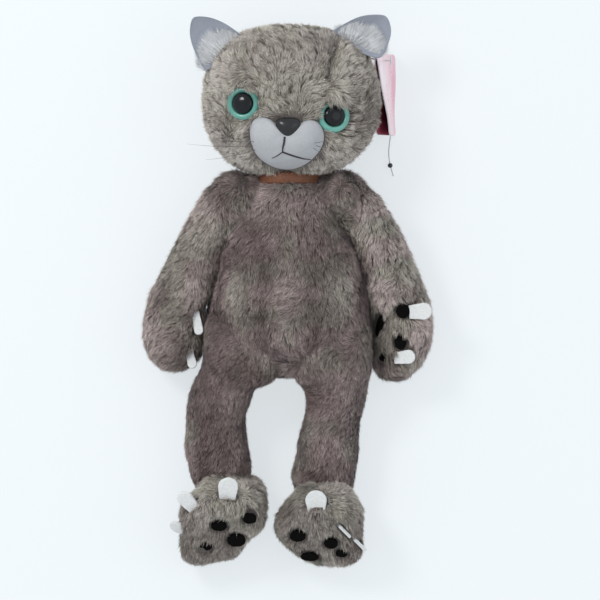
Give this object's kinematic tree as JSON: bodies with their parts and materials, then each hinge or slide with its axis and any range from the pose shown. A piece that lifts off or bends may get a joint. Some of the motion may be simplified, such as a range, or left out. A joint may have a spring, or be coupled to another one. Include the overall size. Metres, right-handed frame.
{
  "type": "plush cat",
  "caption": "Soft plush cat with a round head, long floppy limbs, paw pads, felt claws, a collar strap and a card hang tag, lying on its back.",
  "frame": {"origin": "bottom centre of the toy lying on its back", "axes": "+Y towards the head, +Z out of the belly, +X to the toy's left"},
  "size_m": [0.213, 0.4115, 0.1027],
  "materials": {
    "fur": "short soft pile",
    "filling": "loose fibre",
    "muzzle_velour": "velour",
    "ear_velour": "velour",
    "white_pile": "long pile",
    "collar": "matt",
    "nose_plastic": "glossy",
    "iris": "glossy",
    "pupil": "glossy",
    "washer": "moulded",
    "black_thread": "thread",
    "whisker": "thin bristle",
    "fastener": "moulded",
    "black_felt": "felt",
    "white_felt": "felt",
    "tag_card_outside": "coated card",
    "tag_card_inside": "coated card",
    "tag_thread": "thread",
    "tag_bead": "moulded"
  },
  "bodies": {
    "torso": {"torso_skin": "fur", "torso_filling": "filling"},
    "tail": {"tail_skin": "fur", "tail_filling": "filling"},
    "neck": {"neck_core": "fur", "collar_strap": "collar"},
    "head": {"head_skin": "fur", "head_filling": "filling", "muzzle": "muzzle_velour", "nose": "nose_plastic", "nose_washer": "washer", "mouth_stitching": "black_thread", "left_eye_iris": "iris", "left_eye_pupil": "pupil", "left_eye_washer": "washer", "right_eye_iris": "iris", "right_eye_pupil": "pupil", "right_eye_washer": "washer", "left_ear_back": "ear_velour", "left_ear_front": "ear_velour", "left_ear_tuft": "white_pile", "right_ear_back": "ear_velour", "right_ear_front": "ear_velour", "right_ear_tuft": "white_pile", "left_whiskers": "whisker", "right_whiskers": "whisker", "tag_fastener": "fastener"},
    "left_arm": {"left_arm_skin": "fur", "left_arm_filling": "filling", "left_palm_pads": "black_felt", "left_hand_claws": "white_felt"},
    "right_arm": {"right_arm_skin": "fur", "right_arm_filling": "filling", "right_palm_pads": "black_felt", "right_hand_claws": "white_felt"},
    "left_leg": {"left_leg_skin": "fur", "left_leg_filling": "filling"},
    "right_leg": {"right_leg_skin": "fur", "right_leg_filling": "filling"},
    "left_foot": {"left_foot_skin": "fur", "left_foot_filling": "filling", "left_sole": "fur", "left_sole_pads": "black_felt", "left_foot_claws": "white_felt"},
    "right_foot": {"right_foot_skin": "fur", "right_foot_filling": "filling", "right_sole": "fur", "right_sole_pads": "black_felt", "right_foot_claws": "white_felt"},
    "hang_tag": {"tag_cover": "tag_card_outside", "tag_leaf": "tag_card_inside", "tag_thread": "tag_thread", "tag_bead": "tag_bead"}
  },
  "joints": [
    {"name": "neck_turn", "type": "hinge", "parent": "torso", "child": "neck", "pos_m": [0, 0.084, 0.04], "axis": [0, 1, 0], "range_deg": [-40, 40]},
    {"name": "head_nod", "type": "hinge", "parent": "neck", "child": "head", "pos_m": [0, 0.084, 0.04], "axis": [1, 0, 0], "range_deg": [-12, 22]},
    {"name": "left_shoulder_swing", "type": "hinge", "parent": "torso", "child": "left_arm", "pos_m": [0.03712, 0.058, 0.037], "axis": [-0.9678, -0.2516, 0], "range_deg": [-25, 90]},
    {"name": "right_shoulder_swing", "type": "hinge", "parent": "torso", "child": "right_arm", "pos_m": [-0.03712, 0.058, 0.037], "axis": [-0.9678, 0.2516, 0], "range_deg": [-25, 90]},
    {"name": "left_hip_swing", "type": "hinge", "parent": "torso", "child": "left_leg", "pos_m": [0.033, -0.045, 0.0305], "axis": [-1, 0, 0], "range_deg": [0, 90]},
    {"name": "right_hip_swing", "type": "hinge", "parent": "torso", "child": "right_leg", "pos_m": [-0.037, -0.045, 0.0305], "axis": [-1, 0, 0], "range_deg": [0, 90]},
    {"name": "left_ankle_bend", "type": "hinge", "parent": "left_leg", "child": "left_foot", "pos_m": [0.026, -0.139, 0.021], "axis": [-1, 0, 0], "range_deg": [-15, 15]},
    {"name": "right_ankle_bend", "type": "hinge", "parent": "right_leg", "child": "right_foot", "pos_m": [-0.052, -0.134, 0.021], "axis": [-1, 0, 0], "range_deg": [-15, 15]},
    {"name": "tail_lift", "type": "hinge", "parent": "torso", "child": "tail", "pos_m": [-0.0025, -0.03, 0.008], "axis": [-1, 0, 0], "range_deg": [0, 85]},
    {"name": "tag_swing", "type": "hinge", "parent": "head", "child": "hang_tag", "pos_m": [0.07338, 0.1725, 0.02549], "axis": [-1, 0, 0], "range_deg": [0, 55]}
  ]
}
